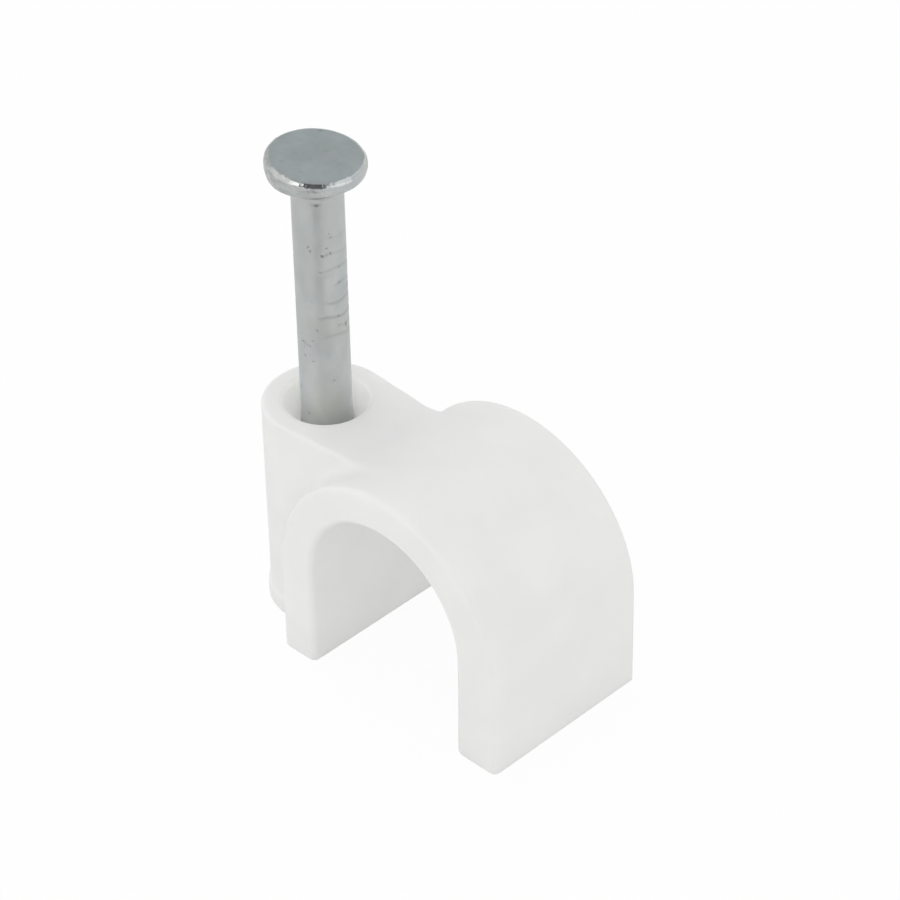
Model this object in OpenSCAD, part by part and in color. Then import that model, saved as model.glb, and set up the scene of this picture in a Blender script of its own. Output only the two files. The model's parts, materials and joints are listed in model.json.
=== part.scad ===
// Nail-in cable clip, before it is driven home.
// A moulded saddle strides a round cable, and a boss on one of its legs holds a steel nail upright.
// X runs across the cable, Y along it and Z up from the wall. Sizes are in millimetres.

/* [Cable saddle] */
// Diameter of the round cable that the channel holds
cable_d = 8; // [5:0.5:12]
// How much narrower than the cable the channel is, so that it grips
cable_squeeze = 0.1; // [0:0.05:0.3]
// Height of the channel's axis above the wall
channel_axis_h = 4.5; // [4:0.05:6]
// Length of the saddle along the cable
saddle_l = 8; // [6.5:0.1:12]
// Thickness of the crown over the cable
crown_t = 1.6; // [1.2:0.05:2.5]
// Thickness of the leg that carries the nail boss
boss_leg_t = 1.75; // [1.2:0.05:2.5]
// Thickness of the free leg
free_leg_t = 2.05; // [1.2:0.05:2.5]
// Radius of the saddle's outer moulded edges
saddle_edge_r = 0.25; // [0.1:0.05:0.5]
// Radius of the edges round the channel's two ends
channel_edge_r = 0.25; // [0.1:0.05:0.5]
// Radius on the inner toe of the free leg, where the cable slips in
toe_r = 0.25; // [0.1:0.05:0.6]

/* [Nail boss] */
// Distance from the boss leg's outer face to the nail's axis
nail_stand_off = 1.2; // [0.8:0.05:2.5]
// Diameter of the boss
boss_d = 5.16; // [4.6:0.02:6.2]
// Height of the boss above the wall
boss_h = 9.4; // [7.5:0.1:9.6]
// Radius of the edge round the boss's top
boss_edge_r = 0.15; // [0.1:0.05:0.45]
// Height of the upright face of the band round the boss's foot
foot_band_h = 0.5; // [0.4:0.05:1.6]
// Height of the slope above that band
foot_slope_h = 0.3; // [0.2:0.05:0.8]
// How far the band stands out of the boss
foot_band_t = 0.1; // [0.05:0.01:0.3]

/* [Nail hole] */
// Diameter of the funnel round the nail at the top of the boss, before its lip is rounded
mouth_d = 3.4; // [2.8:0.05:4.2]
// Depth of the funnel, from the top of the boss to the grip
funnel_depth = 0.8; // [0.6:0.1:4]
// Radius of the mouth's rounded lip
lip_r = 0.5; // [0.1:0.05:0.8]
// Gap between the nail and the grip, all round
grip_gap = 0.03; // [0.02:0.01:0.08]

/* [Nail] */
// Diameter of the nail's shank
shank_d = 2.05; // [1.6:0.05:2.4]
// Length of the nail from its point to the top of its head
nail_l = 20; // [16:0.5:30]
// Diameter of the nail's head
head_d = 3.92; // [3.4:0.02:5]
// Thickness of the head at its rim
rim_t = 1; // [0.6:0.05:1.3]
// Radius of the rim's two edges
rim_edge_r = 0.24; // [0.05:0.01:0.28]
// Height of the cone under the head
head_cone_h = 0.4; // [0.2:0.05:1]
// Length of the nail's point
point_l = 2.6; // [1.5:0.1:4]
// Diameter of the blunt end of the point
point_end_d = 0.3; // [0.1:0.05:0.6]
// Height of the point's end above the wall before the nail is driven
point_h = 0.8; // [0.2:0.1:2]

/* [Hidden] */
$fn = 96;

// Cuts run this far past the faces that they open
overcut = 1;
// The lip's round laps over the funnel's wall by this much, so that the two cross and don't only touch
lip_lap = 0.001;

// The channel's axis is at X = 0 until the whole clip is centred on its own box
channel_r = (cable_d - cable_squeeze) / 2;
outer_left_x = -channel_r - boss_leg_t;
outer_right_x = channel_r + free_leg_t;
arch_r = (outer_right_x - outer_left_x) / 2;
arch_x = (outer_right_x + outer_left_x) / 2;
arch_z = channel_axis_h + channel_r + crown_t - arch_r;

boss_r = boss_d / 2;
band_r = boss_r + foot_band_t;
nail_x = outer_left_x - nail_stand_off;
mouth_r = mouth_d / 2;
shank_r = shank_d / 2;
grip_r = shank_r + grip_gap;
grip_top_z = boss_h - funnel_depth;

// Lean of the funnel's wall from upright, and how much of that wall the lip's round takes up
funnel_lean = atan((mouth_r - grip_r) / funnel_depth);
lip_run = lip_r * tan(45 - funnel_lean / 2);
lip_in_r = mouth_r - lip_run * sin(funnel_lean);
lip_low_z = boss_h - lip_run * cos(funnel_lean);
lip_out_r = mouth_r + lip_run - lip_lap / cos(funnel_lean);

head_r = head_d / 2;
head_top_z = point_h + nail_l;
rim_z = head_top_z - rim_t;
shank_top_z = rim_z - head_cone_h;
shank_low_z = point_h + point_l;

clip_centre_x = (nail_x - band_r + outer_right_x) / 2;

// A rectangle in the first quadrant from the Y axis, rounded at its outer top corner
module top_rounded_half(w, h, r) {
    square([w - r, h]);
    square([w, h - r]);
    translate([w - r, h - r]) circle(r);
}

// The same on both sides of the X axis, rounded at both outer corners
module bar_half(w, l, r) {
    top_rounded_half(w, l / 2, r);
    mirror([0, 1]) top_rounded_half(w, l / 2, r);
}

// A half profile and its mirror image across the Y axis
module both_sides() {
    children();
    mirror([1, 0]) children();
}

// Sweeps a half profile over an arch about the cable's direction, with both legs down to foot_z
module arch_sweep(centre_x, centre_z, foot_z) {
    translate([centre_x, 0, centre_z]) rotate([90, 0, 0]) rotate_extrude(angle = 180) children();
    translate([centre_x, 0, foot_z]) linear_extrude(centre_z - foot_z) both_sides() children();
}

// What fills the corner between a wall and a face that meet at a rounded edge of radius r
module edge_flare(r) {
    difference() {
        square([r, r + overcut]);
        translate([r, 0]) circle(r);
    }
}

// Half section of the channel, with its two ends opened by their rounded edges
module channel_half() {
    end_y = saddle_l / 2 - channel_edge_r;
    translate([0, -saddle_l / 2 - overcut]) square([channel_r, saddle_l + 2 * overcut]);
    for (side = [0, 1]) mirror([0, side]) translate([channel_r, end_y]) edge_flare(channel_edge_r);
}

// Half section of the boss, with the band round its foot
module boss_half() {
    top_rounded_half(boss_r, boss_h, boss_edge_r);
    polygon([
        [0, 0],
        [band_r, 0],
        [band_r, foot_band_h],
        [boss_r, foot_band_h + foot_slope_h],
        [0, foot_band_h + foot_slope_h]
    ]);
}

// The boss is a round column that runs on as a straight block into the arch
module boss_column() {
    translate([nail_x, 0, 0]) {
        rotate([0, 0, 90]) rotate_extrude(angle = 180) boss_half();
        rotate([90, 0, 90]) linear_extrude(arch_x - nail_x) both_sides() boss_half();
    }
}

// The nail's way through the boss: grip, funnel and rounded lip
module nail_hole() {
    translate([nail_x, 0, 0]) rotate_extrude() {
        polygon([
            [0, -overcut],
            [grip_r, -overcut],
            [grip_r, grip_top_z],
            [mouth_r, boss_h],
            [0, boss_h]
        ]);
        difference() {
            polygon([
                [0, lip_low_z],
                [lip_in_r, lip_low_z],
                [lip_out_r, boss_h - lip_r],
                [lip_out_r, boss_h + overcut],
                [0, boss_h + overcut]
            ]);
            translate([lip_out_r, boss_h - lip_r]) circle(lip_r);
        }
    }
}

// Rounds the free leg's inner toe along the whole length of the channel
module toe_cut() {
    translate([channel_r, saddle_l / 2 + overcut, 0]) rotate([90, 0, 0])
        linear_extrude(saddle_l + 2 * overcut) difference() {
            translate([-overcut, -overcut]) square([toe_r + overcut, toe_r + overcut]);
            translate([toe_r, toe_r]) circle(toe_r);
        }
}

// Clip body: saddle and boss, moulded in one piece
module clip_body() {
    color("#E4E4E0") translate([-clip_centre_x, 0, 0]) difference() {
        union() {
            arch_sweep(arch_x, arch_z, 0) bar_half(arch_r, saddle_l, saddle_edge_r);
            boss_column();
        }
        arch_sweep(0, channel_axis_h, -overcut) channel_half();
        nail_hole();
        toe_cut();
    }
}

// Nail: headed and pointed in one piece
module nail() {
    color("#8D979A") translate([nail_x - clip_centre_x, 0, 0]) rotate_extrude() {
        polygon([
            [0, point_h],
            [point_end_d / 2, point_h],
            [shank_r, shank_low_z],
            [shank_r, shank_top_z],
            [head_r - rim_edge_r, rim_z],
            [0, rim_z]
        ]);
        translate([0, rim_z + rim_t / 2]) bar_half(head_r, rim_t, rim_edge_r);
    }
}

clip_body();
nail();
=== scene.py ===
"""Looks of a nail-in cable clip: a white moulded saddle and a zinc-plated nail on a plain white floor."""
import itertools
import json
import math

import bpy
import numpy as np
from mathutils import Matrix, Vector, noise


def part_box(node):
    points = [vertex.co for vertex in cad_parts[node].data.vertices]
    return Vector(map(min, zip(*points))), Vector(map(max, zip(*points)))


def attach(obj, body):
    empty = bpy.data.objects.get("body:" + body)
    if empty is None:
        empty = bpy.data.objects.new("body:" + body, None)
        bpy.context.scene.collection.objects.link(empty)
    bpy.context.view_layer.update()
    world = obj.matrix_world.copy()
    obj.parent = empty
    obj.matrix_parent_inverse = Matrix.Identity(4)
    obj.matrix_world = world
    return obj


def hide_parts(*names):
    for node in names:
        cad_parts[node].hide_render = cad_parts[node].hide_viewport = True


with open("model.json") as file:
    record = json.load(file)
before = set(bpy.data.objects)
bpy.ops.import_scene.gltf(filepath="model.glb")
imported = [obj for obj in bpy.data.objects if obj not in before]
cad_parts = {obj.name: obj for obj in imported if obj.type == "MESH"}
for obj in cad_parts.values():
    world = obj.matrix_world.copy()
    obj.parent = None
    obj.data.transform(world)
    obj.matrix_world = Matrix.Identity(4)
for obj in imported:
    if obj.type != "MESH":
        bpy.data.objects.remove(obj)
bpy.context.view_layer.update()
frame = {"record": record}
MM = 0.001


def mount(name):
    """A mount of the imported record, by name."""
    return next(m for m in frame["record"]["mounts"] if m["name"] == name)


# Sizes of the clip in millimetres, taken from the frame where it gives them
clip_low, clip_high = (np.array(corner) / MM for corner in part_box("clip_body"))
nail_low, nail_high = (np.array(corner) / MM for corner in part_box("nail"))
channel_x, _, channel_z = np.array(mount("cable_saddle")["pos_m"]) / MM
channel_r = mount("cable_saddle")["dims"]["r_mm"]
saddle_half = clip_high[1]
BOSS_LEG_T = 1.75
arch_r = (clip_high[0] - (channel_x - channel_r - BOSS_LEG_T)) / 2
arch_x = clip_high[0] - arch_r
arch_z = clip_high[2] - arch_r
nail_x = mount("nail_point")["pos_m"][0] / MM
FOOT_BAND_T = 0.1
FOOT_BAND_H = 0.5
FOOT_SLOPE_H = 0.3
boss_r = nail_x - clip_low[0] - FOOT_BAND_T
BOSS_H = 9.4
MOUTH_R = 1.78
FUNNEL_DEPTH = 1.0
GRIP_R = 1.03
# The boss narrows on each side towards the arch by so much per millimetre
NECK_TAPER = 0.07
# The free leg's inner wall leans in towards its foot by so much, from so high
LEG_DRAFT = 0.05
LEG_DRAFT_H = 3.0

# Rounds of the moulded edges, in millimetres
SADDLE_EDGE_R = 0.25
CHANNEL_EDGE_R = 0.25
BOSS_EDGE_R = 0.15
LIP_R = 0.1
VALLEY_R = 0.6
FOOT_EDGE_R = 0.05
TOE_R = 0.25

# The clip's mesh: step of its grid in millimetres, how near to a foot's edge, in steps, a vertex moves onto
# that edge, and in how many rounds vertices settle on the surface
GRID_STEP = 0.11
EDGE_REACH = 0.75
SETTLING_ROUNDS = 4

# Sizes of the nail in millimetres
SHANK_R = 1.025
POINT_L = 2.6
POINT_END_R = 0.15
POINT_END_ROUND = 0.05
POINT_ROOT_ROUND = 0.5
head_r = (nail_high[0] - nail_low[0]) / 2
HEAD_T = 1.09
HEAD_CONE_H = 0.42
NECK_ROUND = 0.4
UNDERSIDE_R = 1.64
UNDERSIDE_ROUND = 0.15
BEVEL_R = 1.88
BEVEL_H = 0.16
BEVEL_ROUND = 0.25
RIM_DEPTH = 0.5
RIM_ROUND = 0.3
FACE_ROUND = 0.36
WIDEST_DEPTH = 0.62
under_z = nail_high[2] - HEAD_T

# The nail's mesh: vertices round it, steps along its outline where it is seen and where the clip hides it
NAIL_SIDES = 180
FINE_STEP = 0.04
COARSE_STEP = 0.2
SEEN_Z = 7.0
ROUND_STEPS = 7

# The head was upset unevenly. Its face, widest ring and underside each lie lower than drawn, by a drop in
# millimetres, and fall towards +X+Y and towards +X-Y, by so much per millimetre. The face is off its middle.
HEAD_LIES = (
    (0.15, 0.0717, 0.0577),
    (0.14, 0.03, 0.0),
    (0.0, -0.05, 0.0),
)
FACE_SHIFT = -0.03
# Share of X and of Y in a direction halfway between them
DIAGONAL = math.sqrt(0.5)
# Its sides are lumpy: height and size of the lumps, in millimetres
LUMPS = ((0.014, 0.45), (0.007, 0.16), (0.007, 0.08))
# Waves of the head's outline: number round it, height in millimetres and turn in degrees
HEAD_WAVES = ((2, 0.003, 20), (3, 0.004, 75), (5, 0.002, 10))
# Where the rim begins above the underside, and where it fades out and the face fades in below the top
RIM_START_H = 0.2
RIM_FADE = (0.1, 0.02)
FACE_FADE = 0.12
# Ripple of the face: height, size and how far it lies below the face, as a share of its height
RIPPLE_H = 0.006
RIPPLE_SIZE = 0.5
RIPPLE_SINK = 0.8
# Stains and painted shade on its rim: share of the plating that they darken at the least and at the most
# shaded side, that side's turn in degrees, their size in millimetres and how sharply they stand out
RIM_STAINS_AND_SHADE = (0.06, 0.34)
SHADED_SIDE = 215
STAIN_SIZE = 0.24
STAIN_CONTRAST = 1.4
# Painted shade: the plating is darker towards the rim's underside, by so much and up to so high above it
UNDER_PAINTED_SHADE = 0.16
UNDER_PAINTED_SHADE_H = 0.45

# The wire is uneven: depth and size of its hollows, stretched along it by the inverse of the last value
WIRE_DEPTH = 0.004
WIRE_SIZE = 0.7
WIRE_SQUEEZE = 0.4
# The dies that held the wire left rows of grooves: height, depth, and the turns where each starts and ends
GRIP_ROWS = (
    (17.45, 0.005, -34, 40),
    (16.7, 0.007, -42, 40),
    (16.03, 0.012, -42, 60),
    (15.8, 0.008, -44, -20),
    (15.3, 0.012, -14, 76),
    (14.95, 0.01, 20, 80),
    (14.52, 0.015, -34, 80),
    (13.83, 0.018, -50, 80),
    (13.36, 0.012, 0, 80),
    (12.95, 0.011, -40, 60),
    (17.1, 0.01, 150, 216),
    (16.35, 0.015, 138, 232),
    (15.6, 0.018, 144, 226),
    (14.9, 0.017, 132, 220),
    (14.2, 0.02, 140, 236),
    (13.5, 0.013, 150, 222),
)
# Half height of a groove in millimetres, and degrees to each side of its ends over which it fades
GROOVE_HALF_H = 0.075
GROOVE_ENDS = 14
# Each groove waves up and down by so much, so many times round the wire, each from another place
GROOVE_WAVE = 0.05
GROOVE_WAVES = 4
GROOVE_WAVE_TURN = 90
# Pits are longer than wide, in shares of their radius, and each lies at an angle so much larger than the last
PIT_LENGTH = 1.0
PIT_WIDTH = 0.5
PIT_TURN = 50
# Pits in the shank: turn in degrees, height, radius and depth in millimetres
PITS = (
    (-46, 19.0, 0.12, 0.04),
    (-68, 17.08, 0.06, 0.045),
    (-63, 16.92, 0.06, 0.045),
    (-40, 16.72, 0.07, 0.05),
    (-34, 16.73, 0.04, 0.03),
    (-28, 16.75, 0.04, 0.03),
    (-20, 16.77, 0.06, 0.05),
    (-29, 17.04, 0.05, 0.04),
    (-18, 17.47, 0.05, 0.04),
    (-22, 17.66, 0.04, 0.03),
    (-45, 16.0, 0.045, 0.035),
    (2, 16.01, 0.05, 0.04),
    (1, 15.31, 0.06, 0.04),
    (-65, 14.6, 0.04, 0.03),
    (-6, 13.81, 0.05, 0.04),
    (-5, 13.39, 0.06, 0.035),
    (18, 13.22, 0.09, 0.045),
    (-55, 13.31, 0.06, 0.035),
    (-94, 12.6, 0.06, 0.045),
    (-88, 12.56, 0.045, 0.035),
    (-82, 12.52, 0.045, 0.035),
    (-75, 12.49, 0.05, 0.04),
    (-67, 12.77, 0.05, 0.035),
    (-90, 12.39, 0.04, 0.03),
    (-90, 11.97, 0.06, 0.035),
    (-68, 11.8, 0.05, 0.045),
    (-24, 10.89, 0.06, 0.03),
    (-110, 10.3, 0.06, 0.04),
    (-86, 9.23, 0.06, 0.045),
    (140, 16.9, 0.06, 0.045),
    (118, 14.2, 0.06, 0.04),
    (166, 12.3, 0.07, 0.045),
    (200, 17.5, 0.06, 0.04),
    (232, 11.4, 0.07, 0.04),
)
# Dents in the head's face: turn in degrees, distance from the axis, radius and depth in millimetres
DENTS = (
    (128, 1.58, 0.09, 0.03),
    (226, 0.75, 0.06, 0.012),
    (-75, 0.34, 0.05, 0.014),
    (-60, 0.45, 0.05, 0.01),
    (250, 1.35, 0.08, 0.016),
    (-68, 1.3, 0.06, 0.014),
    (70, 0.5, 0.12, 0.008),
    (10, 1.1, 0.1, 0.006),
    (170, 1.0, 0.07, 0.01),
)
# Painted shade: how much each kind of mark darkens the plating, per millimetre of its depth
GROOVE_PAINTED_SHADE = 16.0
PIT_PAINTED_SHADE = 18.0
DENT_PAINTED_SHADE = 12.0

# Camera at the photograph's viewing angle, in degrees and metres
CAMERA_AZIMUTH = 44.95
CAMERA_ELEVATION = 36.4
CAMERA_ROLL = -1.13
CAMERA_DISTANCE = 0.134
CAMERA_TARGET = Vector((0.001706, 0.0, 0.010277))
CAMERA_LENS = 140.55
CAMERA_SENSOR = 36.0
CAMERA_NEAR = 0.01

# Colours of the plastic, of the painted light (paler colour and glow) inside its mouth round the nail, and of
# the nail's plating
PLASTIC = ((0.845, 0.847, 0.835), (0.872, 0.872, 0.86))
MOUTH_PAINTED_LIGHT = (0.985, 0.98, 0.955)
MOUTH_PAINTED_GLOW = (1, 0.985, 0.93)
MOUTH_PAINTED_GLOW_STRENGTH = 0.07
COOL_ZINC = ((0.535, 0.565, 0.57), (0.615, 0.64, 0.645))
WARM_ZINC = ((0.555, 0.57, 0.55), (0.615, 0.625, 0.61))
# Grey towards which the plating is darkened by stain and by shade painted in its marks and under its head
STAIN_AND_SHADE_GREY = (0.16, 0.17, 0.175)
# Roughness of the plastic from place to place, of the shank and of the head, and how much the metal's varies
PLASTIC_ROUGHNESS = (0.48, 0.6)
SHANK_ROUGHNESS = 0.3
HEAD_ROUGHNESS = 0.13
ROUGHNESS_SPREAD = 0.1
# Depths below the top of the head between which the shank's roughness turns into the head's, in millimetres
ROUGHNESS_TURN = (1.4, 0.9)
# Depth that light reaches in the plastic, and heights of the plastic's grain, of the drawn wire's grain and
# of the scuffs on the head's rim, in millimetres
SCATTER_DEPTH = 0.5
GRAIN_H = 0.003
DRAWN_H = 0.0025
DRAWN_STRENGTH = 0.6
SCUFF_H = 0.016
# Scales of the patterns, in features per metre
CLOUDS = 350
SHEEN = 900
GRAIN = 5000
MOTTLE = 1100
CAST = 500
DULLNESS = 1600
DRAWN = 9000
SCUFFS = 8000

# Floor: half its width in metres, its grey, and the share of it that shows as plain white
FLOOR_HALF = 0.6
FLOOR_GREY = (0.95, 0.95, 0.95)
FLOOR_WHITE = 0.93
# Strength of the even light from all round
AMBIENT = 0.725
# Soft lamps: azimuth and elevation in degrees, width and height in metres, and power in watts
LAMP_DISTANCE = 0.5
LAMPS = (
    ("key", 44, 38, 0.3, 0.3, 0.3),
    ("left_box", -40, 8, 0.35, 0.12, 0.15),
    ("right_box", 130, 8, 0.35, 0.12, 0.15),
    ("top_box", -90, 60, 0.35, 0.35, 0.39),
    ("back_box", 225, 50, 0.4, 0.4, 0.1),
)
# Cards that the metal reflects: azimuth and elevation in degrees, width and height in metres, and colour
CARD_DISTANCE = 0.6
CARDS = (
    ("camera_side", 43, 35, 0.66, 0.9, (0.12, 0.122, 0.125)),
    ("far_side", 225, 38, 0.95, 0.85, (0.52, 0.558, 0.575)),
    ("ceiling", 45, 88, 0.6, 0.42, (0.5, 0.52, 0.53)),
    ("left_strip", -24, 16, 0.86, 0.32, (1.0, 1.0, 1.0)),
    ("left_end", -88, 16, 0.5, 0.5, (0.72, 0.72, 0.72)),
    ("left_panel", 4, 28, 0.22, 0.55, (1.8, 1.8, 1.8)),
    ("right_strip", 98, 20, 0.5, 0.42, (1.2, 1.2, 1.2)),
    ("right_end", 154, 16, 0.62, 0.5, (0.78, 0.78, 0.78)),
)
# Cards just above the floor: place ahead of the nail and to its right, width, depth and height above it in
# metres, and colour
FLOOR_CARDS = (
    ("table", 0, 0, 0.4, 0.4, 0.0002, (0.77, 0.775, 0.775)),
    # A dark card that stands in for shade on the floor ahead of the nail, painted shade that the shank shows
    # as a darker band
    ("front_floor_shade", 0.028, -0.003, 0.018, 0.012, 0.0004, (0.42, 0.43, 0.43)),
)


def round_and(a, b, r):
    """Distance to the overlap of two shapes, with a round of radius r along their common edge."""
    corner = np.hypot(np.maximum(a + r, 0), np.maximum(b + r, 0))
    return np.minimum(np.maximum(a, b), -r) + corner


def round_or(a, b, r):
    """Distance to the union of two shapes, with a fillet of radius r in the corner between them."""
    return -round_and(-a, -b, r)


def column(along, across, radius):
    """Distance in a plane to a bar that is round at its end and runs on towards negative along."""
    return np.where(along > 0, np.hypot(along, across), np.abs(across)) - radius


def ramp(value, low, high):
    """Smooth step from 0 at low to 1 at high."""
    t = np.clip((value - low) / (high - low), 0, 1)
    return t * t * (3 - 2 * t)


def ramp_up(value, low, high):
    """Straight step from 0 at low to 1 at high."""
    return np.clip((value - low) / (high - low), 0, 1)


def free_leg_in(x, z):
    """How far the free leg's inner wall leans into the channel, and where that leg is."""
    free_side = (x > channel_x) & (z < channel_z)
    return np.where(free_side, LEG_DRAFT * (1 - ramp(z, 0, LEG_DRAFT_H)), 0), free_side


def clip_sides(points):
    """Signed distance from points to the moulded clip, as if its sides ran on below the floor."""
    x, y, z = points.T
    saddle = round_and(column(z - arch_z, x - arch_x, arch_r), np.abs(y) - saddle_half, SADDLE_EDGE_R)
    band = FOOT_BAND_T * (1 - ramp(z, FOOT_BAND_H, FOOT_BAND_H + FOOT_SLOPE_H))
    taper = NECK_TAPER * np.maximum(x - nail_x, 0)
    boss = round_and(column(nail_x - x, y, boss_r) - band + taper, z - BOSS_H, BOSS_EDGE_R)
    body = round_or(saddle, np.maximum(boss, x - arch_x), VALLEY_R)
    channel = column(z - channel_z, x - channel_x, channel_r) + free_leg_in(x, z)[0]
    body = round_and(body, -channel, CHANNEL_EDGE_R)
    from_axis = np.hypot(x - nail_x, y)
    lean = math.atan2(MOUTH_R - GRIP_R, FUNNEL_DEPTH)
    funnel = (MOUTH_R + (z - BOSS_H) * math.tan(lean) - from_axis) * math.cos(lean)
    body = round_and(body, funnel, LIP_R)
    return np.maximum(body, GRIP_R - from_axis)


def clip_distance(points):
    """Signed distance, in millimetres, from points to the surface of the moulded clip."""
    x, _, z = points.T
    leg_in, free_side = free_leg_in(x, z)
    toe = np.where(free_side, round_and(channel_x + channel_r - leg_in - x, -z, TOE_R), -1)
    return np.maximum(round_and(clip_sides(points), -z, FOOT_EDGE_R), toe)


def slopes(distance, points, reach=1e-4):
    """Gradient of a distance function at points, by central differences."""
    steps = reach * np.eye(3)
    return np.stack([distance(points + s) - distance(points - s) for s in steps], -1) / (2 * reach)


def net_of(distance, low, high, step):
    """Vertices, outward normals and quads of the surface where a distance function is zero."""
    axes = [np.arange(a - 2 * step, b + 3 * step, step) for a, b in zip(low, high)]
    grid = np.stack(np.meshgrid(*axes, indexing="ij"), -1)
    field = distance(grid.reshape(-1, 3)).reshape(grid.shape[:3])
    inside = field < 0

    def corner(values, offset):
        return values[tuple(slice(o, values.shape[a] - 1 + o) for a, o in enumerate(offset))]

    offsets = list(itertools.product((0, 1), repeat=3))
    filled = sum(corner(inside, o).astype(int) for o in offsets)
    crossed = (filled > 0) & (filled < 8)
    number = np.full(crossed.shape, -1)
    number[crossed] = np.arange(crossed.sum())

    # Each crossed cell gets one vertex, at the mean of the places where its edges cross the surface
    total = np.zeros((crossed.sum(), 3))
    count = np.zeros(crossed.sum())
    for a, b in itertools.combinations(offsets, 2):
        if sum(abs(i - j) for i, j in zip(a, b)) != 1:
            continue
        fa, fb = corner(field, a)[crossed], corner(field, b)[crossed]
        pa, pb = corner(grid, a)[crossed], corner(grid, b)[crossed]
        cut = (fa < 0) != (fb < 0)
        share = fa[cut] / (fa[cut] - fb[cut])
        total[cut] += pa[cut] + share[:, None] * (pb[cut] - pa[cut])
        count[cut] += 1
    points = total / count[:, None]
    for _ in range(SETTLING_ROUNDS):
        slope = slopes(distance, points)
        points -= distance(points)[:, None] * slope / np.sum(slope * slope, -1, keepdims=True)
    normals = slopes(distance, points)
    normals /= np.linalg.norm(normals, axis=-1, keepdims=True)

    # Each grid edge that crosses the surface gets a quad of the four cells round it
    quads = []
    for axis in range(3):
        ahead = np.roll(inside, -1, axis)
        cut = inside != ahead
        cut[tuple(slice(-1, None) if a == axis else slice(None) for a in range(3))] = False
        at = np.argwhere(cut)
        u, v = np.eye(3, dtype=int)[[(axis + 1) % 3, (axis + 2) % 3]]
        ring = np.stack([number[tuple((at - d).T)] for d in (u * 0, u, u + v, v)], -1)
        leaving = inside[tuple(at.T)]
        quads.append(np.where(leaving[:, None], ring, ring[:, ::-1]))
    return points, normals, np.concatenate(quads)


def stand_flat(points, normals):
    """Takes the lowest ring of vertices down to the floor, so that the feet end in a crisp edge."""
    x, _, z = points.T
    at_toe = (x > channel_x) & (x < channel_x + channel_r + TOE_R)
    ring = (z < GRID_STEP) & (clip_sides(points) > -EDGE_REACH * GRID_STEP) & ~at_toe
    feet = points[ring]
    feet[:, 2] = 0
    for _ in range(SETTLING_ROUNDS):
        slope = slopes(clip_sides, feet)
        slope[:, 2] = 0
        slope /= np.linalg.norm(slope, axis=-1, keepdims=True)
        feet -= clip_sides(feet)[:, None] * slope
    points[ring] = feet
    normals[ring] = slope


def mouth_painted_light_share(points):
    """How far points lie inside the nail's mouth, from 0 outside its lip to 1, for the painted light there.
    """
    from_axis = np.hypot(points[:, 0] - nail_x, points[:, 1])
    in_mouth = 1 - ramp(from_axis, MOUTH_R - LIP_R, MOUTH_R + LIP_R)
    above_grip = ramp(points[:, 2], BOSS_H - 2 * FUNNEL_DEPTH, BOSS_H - FUNNEL_DEPTH)
    return in_mouth * above_grip


def mesh_piece(name, points, faces, material, body, node, normals=None):
    """A smooth mesh object from points in millimetres, which stands for a node and rides on its body."""
    data = bpy.data.meshes.new(name)
    data.from_pydata((np.asarray(points) * MM).tolist(), [], faces)
    data.shade_smooth()
    if normals is not None:
        data.normals_split_custom_set_from_vertices(normals.tolist())
    data.materials.append(material)
    piece = bpy.data.objects.new(name, data)
    bpy.context.scene.collection.objects.link(piece)
    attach(piece, body)
    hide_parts(node)
    return piece


def vertex_values(piece, name, values):
    """Gives each vertex of a piece a value of that name, which its material reads."""
    attribute = piece.data.attributes.new(name, "FLOAT", "POINT")
    attribute.data.foreach_set("value", values)


def rounded(corners):
    """Outline through corners, each given by its radius, its height and the radius of its round."""
    outline = [np.array(corners[0][:2])]
    for before, here, after in zip(corners, corners[1:], corners[2:]):
        corner = np.array(here[:2])
        back, ahead = (np.array(c[:2]) - corner for c in (before, after))
        back, ahead = back / np.linalg.norm(back), ahead / np.linalg.norm(ahead)
        half = math.acos(np.clip(back @ ahead, -1, 1)) / 2
        reach = here[2] / math.tan(half)
        middle = (back + ahead) / np.linalg.norm(back + ahead)
        centre = corner + middle * here[2] / math.sin(half)
        first, last = corner + back * reach - centre, corner + ahead * reach - centre
        for share in np.linspace(0, 1, ROUND_STEPS):
            turn = first * (1 - share) + last * share
            outline.append(centre + turn / np.linalg.norm(turn) * here[2])
    return outline + [np.array(corners[-1][:2])]


def nail_outline():
    """Radius and height of the nail's outline, from the middle of its point to the middle of its head."""
    low, top = nail_low[2], nail_high[2]
    corners = rounded([
        (0, low, 0),
        (POINT_END_R, low, POINT_END_ROUND),
        (SHANK_R, low + POINT_L, POINT_ROOT_ROUND),
        (SHANK_R, under_z - HEAD_CONE_H, NECK_ROUND),
        (UNDERSIDE_R, under_z, UNDERSIDE_ROUND),
        (BEVEL_R, under_z + BEVEL_H, BEVEL_ROUND),
        (head_r, top - RIM_DEPTH, RIM_ROUND),
        (head_r, top, FACE_ROUND),
        (0, top, 0),
    ])
    outline = [corners[0]]
    for start, end in zip(corners, corners[1:]):
        cuts = [start, *[start + (end - start) * t for t in split_at(start[1], end[1], SEEN_Z)], end]
        for a, b in zip(cuts, cuts[1:]):
            step = COARSE_STEP if max(a[1], b[1]) <= SEEN_Z else FINE_STEP
            pieces = max(1, round(np.linalg.norm(b - a) / step))
            outline += [a + (b - a) * i / pieces for i in range(1, pieces + 1)]
    return np.array(outline)


def split_at(start, end, level):
    """Share of the way from start to end at which a level is crossed, as a list of one or none."""
    return [(level - start) / (end - start)] if start < level < end else []


def turn_from(turn, angle):
    """Signed difference between two angles in degrees, from -180 to 180."""
    return (turn - angle + 180) % 360 - 180


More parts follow.
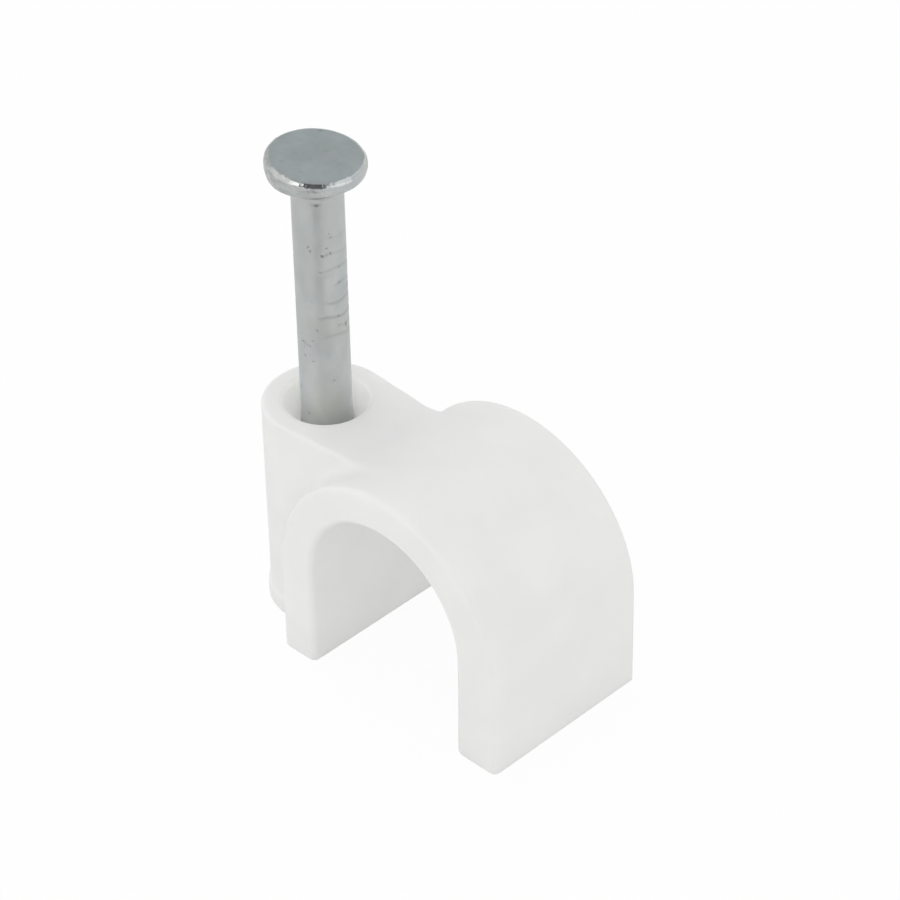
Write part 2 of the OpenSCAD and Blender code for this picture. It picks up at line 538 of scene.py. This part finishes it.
def grip_depth(turn, z):
    """How deep the grooves of the dies are, in millimetres, at an angle in degrees and a height."""
    depth = 0 * turn * z
    for row_z, row_depth, start, end in GRIP_ROWS:
        away = np.abs(turn_from(turn, (start + end) / 2))
        within = 1 - ramp(away, (end - start) / 2 - GROOVE_ENDS, (end - start) / 2 + GROOVE_ENDS)
        bend = GROOVE_WAVE * np.cos(np.radians(GROOVE_WAVES * turn + GROOVE_WAVE_TURN * row_z))
        depth += row_depth * within * np.exp(-((z - row_z - bend) / GROOVE_HALF_H) ** 2)
    return depth


def pit_depth(turn, z):
    """How deep the shank is pitted, in millimetres, at an angle in degrees and a height."""
    depth = 0 * turn * z
    for number, (angle, pit_z, radius, deepest) in enumerate(PITS):
        lie = math.radians(PIT_TURN * number)
        across, up = np.radians(turn_from(turn, angle)) * SHANK_R, z - pit_z
        along = (across * math.cos(lie) + up * math.sin(lie)) / (PIT_LENGTH * radius)
        beside = (up * math.cos(lie) - across * math.sin(lie)) / (PIT_WIDTH * radius)
        depth += deepest * np.exp(-along ** 2 - beside ** 2)
    return depth


def dent_depth(x, y):
    """How deep the head's face is dented, in millimetres, at a place from its middle."""
    depth = 0 * x
    for angle, away, radius, deepest in DENTS:
        dent_x, dent_y = away * math.cos(math.radians(angle)), away * math.sin(math.radians(angle))
        depth += deepest * np.exp(-((x - dent_x) ** 2 + (y - dent_y) ** 2) / radius ** 2)
    return depth


def rim_stain_and_shade(turn, pattern):
    """How dark the head's rim is with stain and painted shade, at an angle in degrees, for a pattern from
    about -1 to 1.
    """
    least, most = RIM_STAINS_AND_SHADE
    side = ((1 + np.cos(np.radians(turn - SHADED_SIDE))) / 2) ** 2
    return (least + (most - least) * side) * np.clip(0.5 + STAIN_CONTRAST * pattern, 0, 1)


def unevenness(points, size):
    """Smooth noise from about -1 to 1 at points, with features of that size in millimetres."""
    flat = np.stack(np.broadcast_arrays(*points), -1).reshape(-1, 3) / size
    values = [noise.noise(p) for p in flat.tolist()]
    return np.reshape(values, np.broadcast(*points).shape)


def revolved_faces(rings):
    """Faces between so many rings of vertices, with fans at both ends to two more vertices."""
    side = np.arange(NAIL_SIDES)
    after = (side + 1) % NAIL_SIDES
    here = np.arange(rings - 1)[:, None] * NAIL_SIDES
    there = here + NAIL_SIDES
    quads = np.stack([here + side, here + after, there + after, there + side], -1).reshape(-1, 4)
    last, low_middle = (rings - 1) * NAIL_SIDES, rings * NAIL_SIDES
    point_fan = np.stack([after, side, side * 0 + low_middle], -1)
    head_fan = np.stack([last + side, last + after, side * 0 + low_middle + 1], -1)
    return quads.tolist() + point_fan.tolist() + head_fan.tolist()


def nail_mesh():
    """Vertices and faces of the nail, how dark each vertex is with stain and painted shade, and how much of
    the head's rim it is.
    """
    outline = nail_outline()
    rings = outline[1:-1]
    turn = (np.arange(NAIL_SIDES) * 360 / NAIL_SIDES)[None, :]
    r, z = rings[:, 0, None] + 0 * turn, rings[:, 1, None] + 0 * turn
    cosine, sine = np.cos(np.radians(turn)), np.sin(np.radians(turn))
    place = (r * cosine, r * sine, z)
    top = nail_high[2]

    # Marks of the shank
    shank = 1 - ramp(z, under_z - HEAD_CONE_H, under_z)
    marked = shank * (z > SEEN_Z)
    grooves, pits = marked * grip_depth(turn, z), marked * pit_depth(turn, z)
    wire = WIRE_DEPTH * unevenness((r * cosine, r * sine, WIRE_SQUEEZE * z), WIRE_SIZE)

    # Waves, lumps, stains and painted shade of the head
    wave = sum(height * np.cos(np.radians(n * (turn - at))) for n, height, at in HEAD_WAVES)
    lumps = sum(height * unevenness(place, size) for height, size in LUMPS)
    rim = ramp(z, under_z, under_z + RIM_START_H) * (1 - ramp(z, top - RIM_FADE[0], top - RIM_FADE[1]))
    stains_and_shade = rim * rim_stain_and_shade(turn, unevenness(place, STAIN_SIZE))
    # Painted shade towards the rim's underside
    stains_and_shade += (1 - shank) * UNDER_PAINTED_SHADE * (1 - ramp(z, under_z, under_z + UNDER_PAINTED_SHADE_H))
    along = np.gradient(rings, axis=0)
    out_r, out_z = np.array([along[:, 1], -along[:, 0]])[:, :, None] / np.hypot(*along.T)[:, None]
    lumps = (1 - shank) * lumps * out_r
    r = r - grooves - pits - marked * np.abs(wire) + lumps * out_r + (1 - shank) * wave * np.minimum(r, 1)
    x, y = r * cosine, r * sine

    # Dents and ripple of the face, and how the face, the widest ring and the underside lie
    face = ramp(z, top - FACE_FADE, top)
    dents = face * dent_depth(x, y)
    ripple = face * RIPPLE_H * (unevenness((x, y, 0), RIPPLE_SIZE) - RIPPLE_SINK)
    to_right, to_front = x * DIAGONAL + y * DIAGONAL, x * DIAGONAL - y * DIAGONAL
    face_lie, widest_lie, underside_lie = (
        drop + right * to_right + front * to_front for drop, right, front in HEAD_LIES)
    high = ramp_up(z, top - WIDEST_DEPTH, top)
    middle = ramp_up(z, under_z, top - WIDEST_DEPTH)
    lie = face_lie * high + widest_lie * (middle - high) + underside_lie * (1 - shank - middle)
    shift = FACE_SHIFT * DIAGONAL * high
    z = z - dents + ripple - lie + lumps * out_z

    points = np.stack([nail_x + x + shift, y + shift, z], -1).reshape(-1, 3)
    face_middle = points[-NAIL_SIDES:].mean(0).tolist()
    points = np.concatenate([points, [[nail_x, 0, outline[0, 1]], face_middle]])
    # Painted shade in the grooves, pits and dents, with the rim's stain and painted shade
    dark = np.clip(GROOVE_PAINTED_SHADE * grooves + PIT_PAINTED_SHADE * pits + DENT_PAINTED_SHADE * dents + stains_and_shade, 0, 1)
    painted_shade_and_stains, rim = (np.concatenate([values.ravel(), [0, 0]]) for values in (dark, rim))
    return points, revolved_faces(len(rings)), painted_shade_and_stains, rim


def node_material(name):
    """A new node material with its Principled shader."""
    material = bpy.data.materials.new(name)
    material.use_nodes = True
    return material, material.node_tree, material.node_tree.nodes["Principled BSDF"]


def noise_node(tree, coords, scale, detail=2.0, stretch=(1, 1, 1)):
    """Factor output of noise with about so many features per metre."""
    mapping = tree.nodes.new("ShaderNodeMapping")
    mapping.inputs["Scale"].default_value = stretch
    tree.links.new(coords, mapping.inputs["Vector"])
    pattern = tree.nodes.new("ShaderNodeTexNoise")
    pattern.inputs["Scale"].default_value = scale
    pattern.inputs["Detail"].default_value = detail
    tree.links.new(mapping.outputs["Vector"], pattern.inputs["Vector"])
    return pattern.outputs["Fac"]


def span(tree, factor, low, high, from_low=0.35, from_high=0.65):
    """Maps a factor to values between low and high."""
    node = tree.nodes.new("ShaderNodeMapRange")
    node.inputs["From Min"].default_value = from_low
    node.inputs["From Max"].default_value = from_high
    node.inputs["To Min"].default_value = low
    node.inputs["To Max"].default_value = high
    tree.links.new(factor, node.inputs["Value"])
    return node.outputs["Result"]


def blended(tree, factor, low, high):
    """Colour output between two colours; each may be a colour or a socket."""
    node = tree.nodes.new("ShaderNodeMix")
    node.data_type = "RGBA"
    tree.links.new(factor, node.inputs["Factor"])
    for name, colour in (("A", low), ("B", high)):
        socket = next(s for s in node.inputs if s.name == name and s.type == "RGBA")
        if isinstance(colour, tuple):
            socket.default_value = (*colour, 1)
        else:
            tree.links.new(colour, socket)
    return next(s for s in node.outputs if s.type == "RGBA")


def bump(tree, height, distance, strength=1.0, under=None):
    """Normal output of a bump of that height in metres, on top of another one if given."""
    node = tree.nodes.new("ShaderNodeBump")
    node.inputs["Distance"].default_value = distance
    node.inputs["Strength"].default_value = strength
    tree.links.new(height, node.inputs["Height"])
    if under is not None:
        tree.links.new(under, node.inputs["Normal"])
    return node.outputs["Normal"]


def object_coords(tree):
    """Output of the place on the object, in metres."""
    return tree.nodes.new("ShaderNodeTexCoord").outputs["Object"]


def vertex_value(tree, name):
    """Output of the value of that name, which each vertex has."""
    node = tree.nodes.new("ShaderNodeAttribute")
    node.attribute_name = name
    return node.outputs["Fac"]


def combined(tree, operation, first, second):
    """Output of a sum, a product or another operation on two outputs."""
    node = tree.nodes.new("ShaderNodeMath")
    node.operation = operation
    tree.links.new(first, node.inputs[0])
    tree.links.new(second, node.inputs[1])
    return node.outputs[0]


def plastic_material():
    """White moulded plastic, satin and slightly translucent, with faint flow clouds, a fine grain and painted
    light in the nail's mouth.
    """
    material, tree, shader = node_material("clip_plastic")
    coords = object_coords(tree)
    clouds = span(tree, noise_node(tree, coords, CLOUDS, 3), 0, 1)
    # Painted light: the inside of the nail's mouth is painted paler and made to glow, to lift the shade there
    mouth = vertex_value(tree, "hole")
    colour = blended(tree, mouth, blended(tree, clouds, *PLASTIC), MOUTH_PAINTED_LIGHT)
    glow = blended(tree, mouth, (0, 0, 0), MOUTH_PAINTED_GLOW)
    rough = span(tree, noise_node(tree, coords, SHEEN, 3), *PLASTIC_ROUGHNESS)
    grain = bump(tree, noise_node(tree, coords, GRAIN, 3), GRAIN_H * MM)
    tree.links.new(colour, shader.inputs["Base Color"])
    tree.links.new(glow, shader.inputs["Emission Color"])
    tree.links.new(rough, shader.inputs["Roughness"])
    tree.links.new(grain, shader.inputs["Normal"])
    shader.inputs["Emission Strength"].default_value = MOUTH_PAINTED_GLOW_STRENGTH
    shader.inputs["Specular IOR Level"].default_value = 0.3
    shader.inputs["Subsurface Weight"].default_value = 0.15
    shader.inputs["Subsurface Radius"].default_value = (1.0, 0.95, 0.85)
    shader.inputs["Subsurface Scale"].default_value = SCATTER_DEPTH * MM
    return material


def zinc_material():
    """Zinc-plated steel wire: mottled grey, bright where the head was struck, darkened by stain and painted
    shade.
    """
    material, tree, shader = node_material("nail_zinc")
    coords = object_coords(tree)
    mottle = span(tree, noise_node(tree, coords, MOTTLE, 3, (1, 1, 0.6)), 0, 1)
    cast = span(tree, noise_node(tree, coords, CAST, 2), 0, 1)
    zinc = blended(tree, cast, blended(tree, mottle, *COOL_ZINC), blended(tree, mottle, *WARM_ZINC))
    # Darkened by stain on the rim and by painted shade in the marks, on one side of the rim and under the
    # head
    colour = blended(tree, vertex_value(tree, "painted_shade_and_stains"), zinc, STAIN_AND_SHADE_GREY)
    height = tree.nodes.new("ShaderNodeSeparateXYZ")
    tree.links.new(coords, height.inputs[0])
    turn = [(nail_high[2] - depth) * MM for depth in ROUGHNESS_TURN]
    plain = span(tree, height.outputs["Z"], SHANK_ROUGHNESS, HEAD_ROUGHNESS, *turn)
    dull = span(tree, noise_node(tree, coords, DULLNESS, 4), 0, ROUGHNESS_SPREAD)
    drawn = bump(tree, noise_node(tree, coords, DRAWN, 3, (1, 1, 0.15)), DRAWN_H * MM, DRAWN_STRENGTH)
    scuffs = combined(
        tree, "MULTIPLY", vertex_value(tree, "rim"), noise_node(tree, coords, SCUFFS, 2, (1, 1, 0.5)))
    tree.links.new(colour, shader.inputs["Base Color"])
    tree.links.new(combined(tree, "ADD", plain, dull), shader.inputs["Roughness"])
    tree.links.new(bump(tree, scuffs, SCUFF_H * MM, 1.0, drawn), shader.inputs["Normal"])
    shader.inputs["Metallic"].default_value = 1
    return material


def seen_directly(tree, share=1.0):
    """Output socket that is share for camera, glossy and transmission rays and 0 for the rest."""
    path = tree.nodes.new("ShaderNodeLightPath")
    seen = path.outputs["Is Camera Ray"]
    for ray in ("Is Glossy Ray", "Is Transmission Ray"):
        seen = combined(tree, "MAXIMUM", seen, path.outputs[ray])
    scaled = tree.nodes.new("ShaderNodeMath")
    scaled.operation = "MULTIPLY"
    scaled.inputs[1].default_value = share
    tree.links.new(seen, scaled.inputs[0])
    return scaled.outputs[0]


def bare_tree(owner):
    """Node tree of a material or world, with no nodes in it yet."""
    owner.use_nodes = True
    owner.node_tree.nodes.clear()
    return owner.node_tree


def mixed(tree, factor, first, second, out):
    """Leads a mix of two shader nodes to an output node of that kind."""
    mix = tree.nodes.new("ShaderNodeMixShader")
    tree.links.new(factor, mix.inputs[0])
    tree.links.new(first.outputs[0], mix.inputs[1])
    tree.links.new(second.outputs[0], mix.inputs[2])
    tree.links.new(mix.outputs[0], tree.nodes.new(out).inputs[0])


def flat_piece(name, width, depth, material):
    """A flat rectangle round its own middle, for the stage."""
    data = bpy.data.meshes.new(name)
    x, y = width / 2, depth / 2
    data.from_pydata([(-x, -y, 0), (x, -y, 0), (x, y, 0), (-x, y, 0)], [], [(0, 1, 2, 3)])
    data.materials.append(material)
    piece = bpy.data.objects.new(name, data)
    return piece


def floor():
    """Pale floor: white where nothing shades it, and keeping a soft shadow."""
    material = bpy.data.materials.new("floor_white")
    tree = bare_tree(material)
    matt = tree.nodes.new("ShaderNodeBsdfDiffuse")
    matt.inputs["Color"].default_value = (*FLOOR_GREY, 1)
    glow = tree.nodes.new("ShaderNodeEmission")
    mixed(tree, seen_directly(tree, FLOOR_WHITE), matt, glow, "ShaderNodeOutputMaterial")
    bpy.context.scene.collection.objects.link(flat_piece("floor", 2 * FLOOR_HALF, 2 * FLOOR_HALF, material))


def studio_world():
    """Even soft light from all round, which the camera and the metal see as plain white."""
    world = bpy.data.worlds.new("studio")
    bpy.context.scene.world = world
    tree = bare_tree(world)
    ambient, white = (tree.nodes.new("ShaderNodeBackground") for _ in range(2))
    for background, strength in ((ambient, AMBIENT), (white, 1)):
        background.inputs["Color"].default_value = (1, 1, 1, 1)
        background.inputs["Strength"].default_value = strength
    mixed(tree, seen_directly(tree), ambient, white, "ShaderNodeOutputWorld")


def view_axes(azimuth, elevation, roll=0.0):
    """Right, up and back directions of a camera that looks at the object from there, in degrees."""
    a, e = math.radians(azimuth), math.radians(elevation)
    back = Vector((math.sin(a) * math.cos(e), -math.cos(a) * math.cos(e), math.sin(e)))
    right = Vector((math.cos(a), math.sin(a), 0))
    up = back.cross(right)
    c, s = math.cos(math.radians(roll)), math.sin(math.radians(roll))
    return c * right + s * up, c * up - s * right, back


def placed(piece, axes, distance):
    """Puts a camera, lamp or card at a distance from the camera's target, with its -Z axis towards it."""
    right, up, back = axes
    matrix = Matrix((right, up, back)).transposed().to_4x4()
    matrix.translation = CAMERA_TARGET + distance * back
    piece.matrix_world = matrix
    bpy.context.scene.collection.objects.link(piece)


def camera():
    """The camera, at the photograph's viewing angle."""
    data = bpy.data.cameras.new("camera")
    data.sensor_width = CAMERA_SENSOR
    data.lens = CAMERA_LENS
    data.clip_start = CAMERA_NEAR
    piece = bpy.data.objects.new("camera", data)
    placed(piece, view_axes(CAMERA_AZIMUTH, CAMERA_ELEVATION, CAMERA_ROLL), CAMERA_DISTANCE)
    bpy.context.scene.camera = piece


def gloss_card(name, width, depth, colour):
    """A card that only gloss shows, of that colour, where white is 1."""
    material = bpy.data.materials.new(name)
    tree = bare_tree(material)
    glow = tree.nodes.new("ShaderNodeEmission")
    glow.inputs["Color"].default_value = (*colour, 1)
    tree.links.new(glow.outputs[0], tree.nodes.new("ShaderNodeOutputMaterial").inputs[0])
    piece = flat_piece(name, width, depth, material)
    piece.visible_camera = False
    piece.visible_diffuse = False
    piece.visible_shadow = False
    piece.visible_transmission = False
    piece.visible_volume_scatter = False
    return piece


def reflector(name, azimuth, elevation, width, height, colour):
    """A card that stands far from the object, in that direction, and faces it."""
    placed(gloss_card(name, width, height, colour), view_axes(azimuth, elevation), CARD_DISTANCE)


def floor_card(name, ahead, aside, width, depth, height, colour):
    """A card that lies above the floor, so far ahead of the nail and to its right, as the camera sees it."""
    piece = gloss_card(name, width, depth, colour)
    right, _, back = view_axes(CAMERA_AZIMUTH, 0)
    place = Vector((nail_x * MM, 0, height)) + ahead * back + aside * right
    piece.matrix_world = Matrix.Translation(place) @ Matrix.Rotation(math.radians(CAMERA_AZIMUTH), 4, "Z")
    bpy.context.scene.collection.objects.link(piece)


def softbox(name, azimuth, elevation, width, height, power):
    """A soft lamp on the object, from that direction, which gloss doesn't show."""
    data = bpy.data.lights.new(name, "AREA")
    data.shape = "RECTANGLE"
    data.size = width
    data.size_y = height
    data.energy = power
    piece = bpy.data.objects.new(name, data)
    piece.visible_camera = False
    piece.visible_glossy = False
    placed(piece, view_axes(azimuth, elevation), LAMP_DISTANCE)


bpy.context.scene.view_settings.view_transform = "Standard"
camera()
studio_world()
floor()
for lamp in LAMPS:
    softbox(*lamp)
for card in CARDS:
    reflector(*card)
for card in FLOOR_CARDS:
    floor_card(*card)

points, normals, quads = net_of(clip_distance, clip_low, clip_high, GRID_STEP)
stand_flat(points, normals)
clip = mesh_piece(
    "moulded_clip", points, quads.tolist(), plastic_material(), "clip", "clip_body", normals)
# Share of the painted light inside the nail's mouth, for each vertex
vertex_values(clip, "hole", mouth_painted_light_share(points))
points, faces, painted_shade_and_stains, rim = nail_mesh()
nail = mesh_piece("plated_nail", points, faces, zinc_material(), "nail", "nail")
vertex_values(nail, "painted_shade_and_stains", painted_shade_and_stains)
vertex_values(nail, "rim", rim)
